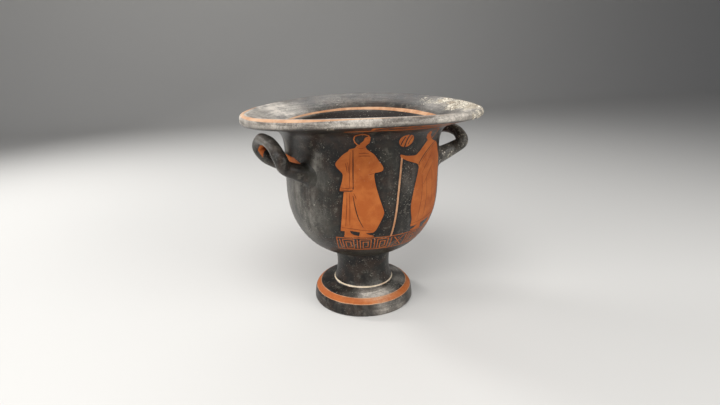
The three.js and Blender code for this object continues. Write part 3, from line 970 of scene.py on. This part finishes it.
def makeRubbingAndSheen():
    # gloss rubbed dull or filmed over, in patches and along the turning marks; the same masks also lay painted sheen
    # and highlight
    tree, inp, out = newGroup("rubbedAndPaintedSheen", [("Base Color", "Color", (0, 0, 0, 1)),
                                              ("Rubbed And Sheen Color", "Color", (1, 1, 1, 1)),
                                              ("Vector", "Vector", (0, 0, 0)), ("Amount", "Float", 0.0),
                                              ("Streaks", "Float", 0.5), ("Streak Share", "Float", 0.45),
                                              ("Evenness", "Float", 0.16), ("Patch Size", "Float", 30.0)],
                              [("Color", "Color"), ("Mask", "Float")])
    cloud = rangeNode(tree, noiseAt(tree, inp["Vector"], inp["Patch Size"], 10, 0.72, 0.3), 0.42, 0.60)
    drawn = rangeNode(tree, inp["Streaks"], 0.42, 0.60)
    other = mathNode(tree, "SUBTRACT", 1.0, inp["Streak Share"])
    blend = plus(tree, times(tree, cloud, other), times(tree, drawn, inp["Streak Share"]))
    scratch = rangeNode(tree, noiseAt(tree, inp["Vector"], 260, 5, 0.75, 1.2), 0.38, 0.58, 0.55, 1.0)
    mask = times(tree, plus(tree, blend, inp["Evenness"]), inp["Amount"])
    mask = times(tree, mask, scratch, clamp=True)
    tree.links.new(mixColour(tree, mask, inp["Base Color"], inp["Rubbed And Sheen Color"]), out["Color"])
    tree.links.new(mask, out["Mask"])
    return tree


groups = {}
limeOnClay = colour(228, 219, 200)
surface = {
    # the rubbed and film colours of each paint are worn and filmed surface and also stand for painted sheen and
    # highlight
    "gloss": {"dark": colour(14, 12, 10), "brown": colour(46, 33, 25), "green": colour(46, 45, 39),
              "mottle": colour(104, 100, 90), "stripe": colour(12, 10, 9), "rubbedAndSheen": colour(134, 130, 122),
              "filmAndSheen": colour(208, 199, 187), "inside": colour(32, 22, 16), "lime": colour(240, 231, 212),
              "roughness": 0.28, "specular": 0.3, "bump": 0.5, "specks": 0.42, "wearAndSheenGain": 1.0, "filmAndSheenGain": 1.15},
    "clay": {"main": colour(172, 90, 38), "light": colour(188, 106, 50), "dark": colour(148, 70, 28),
             "rubbedAndSheen": colour(192, 150, 114), "filmAndSheen": colour(226, 200, 168), "lime": limeOnClay,
             "roughness": 0.6, "specular": 0.22, "bump": 0.3, "specks": 0.12, "wearAndSheenGain": 0.3, "filmAndSheenGain": 0.8},
    "line": {"main": colour(52, 26, 14), "light": colour(76, 38, 18), "dark": colour(34, 18, 12),
             "rubbedAndSheen": colour(110, 66, 40), "filmAndSheen": colour(170, 140, 110), "lime": limeOnClay,
             "roughness": 0.45, "specular": 0.3, "bump": 0.2, "specks": 0.1, "wearAndSheenGain": 0.4, "filmAndSheenGain": 0.3},
    "thinLine": {"main": colour(112, 52, 22), "light": colour(132, 66, 30), "dark": colour(84, 38, 18),
                 "rubbedAndSheen": colour(130, 84, 54), "filmAndSheen": colour(170, 140, 110), "lime": limeOnClay,
                 "roughness": 0.55, "specular": 0.22, "bump": 0.2, "specks": 0.1, "wearAndSheenGain": 0.3, "filmAndSheenGain": 0.3},
    "wash": {"main": colour(182, 128, 90), "light": colour(206, 160, 124), "dark": colour(150, 96, 60),
             "rubbedAndSheen": colour(186, 160, 132), "filmAndSheen": colour(204, 184, 160), "lime": limeOnClay,
             "roughness": 0.6, "specular": 0.22, "bump": 0.2, "specks": 0.3, "wearAndSheenGain": 0.4, "filmAndSheenGain": 0.7},
    "slip": {"main": colour(226, 206, 176), "light": colour(240, 226, 204), "dark": colour(196, 148, 104),
             "rubbedAndSheen": colour(206, 190, 168), "filmAndSheen": colour(226, 210, 186), "lime": limeOnClay,
             "roughness": 0.65, "specular": 0.22, "bump": 0.2, "specks": 0.1, "wearAndSheenGain": 0.2, "filmAndSheenGain": 0.3},
}


dulling = {"rubbedAndSheen": 0.1, "filmAndSheen": 0.15, "inside": 0.25, "lime": 0.4, "grain": 0.12}  # added to the roughness
relief = {"grain": 0.35, "turning": 0.8, "lime": 2.0, "depth": 0.0007}


def useGroup(tree, name, inputs):
    node = tree.nodes.new("ShaderNodeGroup")
    node.node_tree = groups[name]
    for label, value in inputs.items():
        feed(tree, node.inputs[label], value)
    return node.outputs


def makePaint(name, settings):
    material = bpy.data.materials.new(name)
    material.use_nodes = True
    tree = material.node_tree
    shader = tree.nodes["Principled BSDF"]
    where = addNode(tree, "ShaderNodeTexCoord").outputs["Object"]
    mask = {key: addNode(tree, "ShaderNodeAttribute", attribute_name=key).outputs["Fac"]
            for key in ("lime", "wearAndSheen", "filmAndSheen", "stripe", "inside")}
    grain = useGroup(tree, "grain", {"Vector": where})
    turning = useGroup(tree, "turning", {"Vector": where})
    if name == "gloss":
        base = mixColour(tree, rangeNode(tree, grain["Coarse"], 0.40, 0.64), settings["dark"], settings["brown"])
        cloud = noiseAt(tree, where, 16, 6, 0.66)
        base = mixColour(tree, rangeNode(tree, cloud, 0.46, 0.64, 0.0, 0.8), base, settings["green"])
        mottle = rangeNode(tree, noiseAt(tree, where, 80, 9, 0.72, 0.2), 0.54, 0.64, 0.0, 0.5)
        plain = mathNode(tree, "SUBTRACT", 1.0, mask["stripe"])
        base = mixColour(tree, times(tree, mottle, plain), base, settings["mottle"])
        base = mixColour(tree, mask["inside"], base, settings["inside"])
        base = mixColour(tree, times(tree, mask["stripe"], 0.85), base, settings["stripe"])
    else:
        base = mixColour(tree, rangeNode(tree, grain["Coarse"], 0.38, 0.64), settings["main"], settings["light"])
        cloud = noiseAt(tree, where, 26, 6, 0.62)
        base = mixColour(tree, rangeNode(tree, cloud, 0.50, 0.70, 0.0, 0.5), base, settings["dark"])
    # rubbed grey and then pale film over the base, partly painted sheen and highlight
    keep = mathNode(tree, "SUBTRACT", 1.0, times(tree, mask["stripe"], 0.7))
    amount = times(tree, times(tree, mask["wearAndSheen"], settings["wearAndSheenGain"]), keep)
    rubbedAndSheen = useGroup(tree, "rubbing", {"Base Color": base, "Rubbed And Sheen Color": settings["rubbedAndSheen"], "Vector": where,
                                        "Amount": amount, "Streaks": turning["Upright"], "Streak Share": 0.5})
    amount = times(tree, mask["filmAndSheen"], settings["filmAndSheenGain"])
    withFilmAndSheen = useGroup(tree, "rubbing", {"Base Color": rubbedAndSheen["Color"], "Rubbed And Sheen Color": settings["filmAndSheen"],
                                        "Vector": where, "Amount": amount, "Streaks": turning["Streaks"],
                                        "Streak Share": 0.5, "Evenness": 0.4, "Patch Size": 40.0})
    lime = useGroup(tree, "lime", {"Base Color": withFilmAndSheen["Color"], "Lime Color": settings["lime"], "Vector": where,
                                   "Amount": mask["lime"], "Specks": settings["specks"]})
    tree.links.new(lime["Color"], shader.inputs["Base Color"])
    shader.inputs["Specular IOR Level"].default_value = settings["specular"]
    rough = settings["roughness"]
    for part, share in ((rubbedAndSheen["Mask"], dulling["rubbedAndSheen"]), (withFilmAndSheen["Mask"], dulling["filmAndSheen"]),
                        (mask["inside"], dulling["inside"]), (lime["Mask"], dulling["lime"])):
        rough = plus(tree, rough, times(tree, part, share))
    rough = plus(tree, rough, times(tree, grain["Coarse"], dulling["grain"]), clamp=True)
    tree.links.new(rough, shader.inputs["Roughness"])
    height = times(tree, grain["Height"], relief["grain"])
    height = plus(tree, height, times(tree, turning["Height"], relief["turning"]))
    height = plus(tree, height, times(tree, lime["Height"], relief["lime"]))
    bump = addNode(tree, "ShaderNodeBump", {"Strength": settings["bump"], "Distance": relief["depth"],
                                            "Height": height})
    tree.links.new(bump.outputs["Normal"], shader.inputs["Normal"])
    return material


def makePot():
    data, paint, normals, phi, along, count, barSpots = buildPot()
    unwrap(data, phi, along, count, barSpots)
    setMasks(data, phi, along, count)
    groups.update(grain=makeGrain(), turning=makeTurning(), lime=makeLime(), rubbing=makeRubbingAndSheen())
    for name in paints:
        data.materials.append(makePaint(name, surface[name]))
    data.polygons.foreach_set("material_index", np.array(paint, np.int32))
    data.polygons.foreach_set("use_smooth", np.ones(len(data.polygons), bool))
    data.normals_split_custom_set_from_vertices(normals.tolist())
    pot = bpy.data.objects.new("kraterPainted", data)
    bpy.context.scene.collection.objects.link(pot)
    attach(pot, "root")
    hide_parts("krater")
    return pot


room = {"width": 6.0, "depth": 3.2, "height": 3.0, "bend": 0.9, "colour": colour(214, 212, 208)}
lights = [
    {"name": "above", "place": (-0.5, -0.8, 1.65), "aim": (0, 0, 0.25), "size": 1.2, "power": 24},
    {"name": "left", "place": (-1.6, -0.5, 0.9), "aim": (0, 0, 0.15), "size": 1.6, "power": 13},
    {"name": "right", "place": (1.1, -1.3, 0.9), "aim": (0, 0, 0.15), "size": 1.2, "power": 14},
    {"name": "behindLeft", "place": (-1.1, 1.2, 1.1), "aim": (0, 0, 0.25), "size": 0.5, "power": 16},
    {"name": "behind", "place": (0.6, 1.3, 1.5), "aim": (0, 0, 0.3), "size": 1.0, "power": 5},
]
sky = {"colour": (0.9, 0.93, 1.0, 1), "strength": 0.12}
view = {"azimuth": -20, "elevation": 17.832, "roll": -0.915, "distance": 0.79247,
        "aim": (-0.00372, 0.00135, 0.16833), "lens": 23.47, "sensor": 36}


def makeRoom():
    # floor that bends up into the backdrop
    steps = 16
    profile = [(-room["depth"], 0.0), (room["depth"] - room["bend"], 0.0)]
    for i in range(1, steps + 1):
        a = math.pi / 2 * i / steps
        profile.append((room["depth"] - room["bend"] + math.sin(a) * room["bend"], room["bend"] * (1 - math.cos(a))))
    profile.append((room["depth"], room["height"]))
    verts, faces = [], []
    for y, z in profile:
        verts += [(-room["width"], y, z), (room["width"], y, z)]
    for i in range(len(profile) - 1):
        faces.append((i * 2, i * 2 + 1, i * 2 + 3, i * 2 + 2))
    data = bpy.data.meshes.new("floor")
    data.from_pydata(verts, [], faces)
    data.polygons.foreach_set("use_smooth", [True] * len(faces))
    material = bpy.data.materials.new("paleFloor")
    material.use_nodes = True
    material.node_tree.nodes["Principled BSDF"].inputs["Base Color"].default_value = room["colour"]
    material.node_tree.nodes["Principled BSDF"].inputs["Roughness"].default_value = 0.8
    data.materials.append(material)
    floor = bpy.data.objects.new("floor", data)
    bpy.context.scene.collection.objects.link(floor)


def makeLights():
    for light in lights:
        data = bpy.data.lights.new(light["name"], "AREA")
        data.shape, data.size, data.energy = "DISK", light["size"], light["power"]
        lamp = bpy.data.objects.new(light["name"], data)
        lamp.location = light["place"]
        lamp.rotation_euler = (Vector(light["aim"]) - Vector(light["place"])).to_track_quat("-Z", "Y").to_euler()
        bpy.context.scene.collection.objects.link(lamp)
    world = bpy.data.worlds.new("softWorld")
    world.use_nodes = True
    world.node_tree.nodes["Background"].inputs["Color"].default_value = sky["colour"]
    world.node_tree.nodes["Background"].inputs["Strength"].default_value = sky["strength"]
    bpy.context.scene.world = world
    bpy.context.scene.view_settings.view_transform = "Standard"


def makeCamera():
    a, e, roll = (math.radians(view[key]) for key in ("azimuth", "elevation", "roll"))
    ahead = Vector((-math.sin(a) * math.cos(e), math.cos(a) * math.cos(e), -math.sin(e)))
    level = Vector((math.cos(a), math.sin(a), 0))
    upward = level.cross(ahead)
    right = level * math.cos(roll) + upward * math.sin(roll)
    upward = upward * math.cos(roll) - level * math.sin(roll)
    data = bpy.data.cameras.new("camera")
    data.lens, data.sensor_width = view["lens"], view["sensor"]
    camera = bpy.data.objects.new("camera", data)
    place = Vector(view["aim"]) - ahead * view["distance"]
    turn = Matrix((right, upward, -ahead)).transposed().to_4x4()
    camera.matrix_world = Matrix.Translation(place) @ turn
    bpy.context.scene.collection.objects.link(camera)
    bpy.context.scene.camera = camera


print("building the pot")
makePot()
print("room, lights and camera")
makeRoom()
makeLights()
makeCamera()
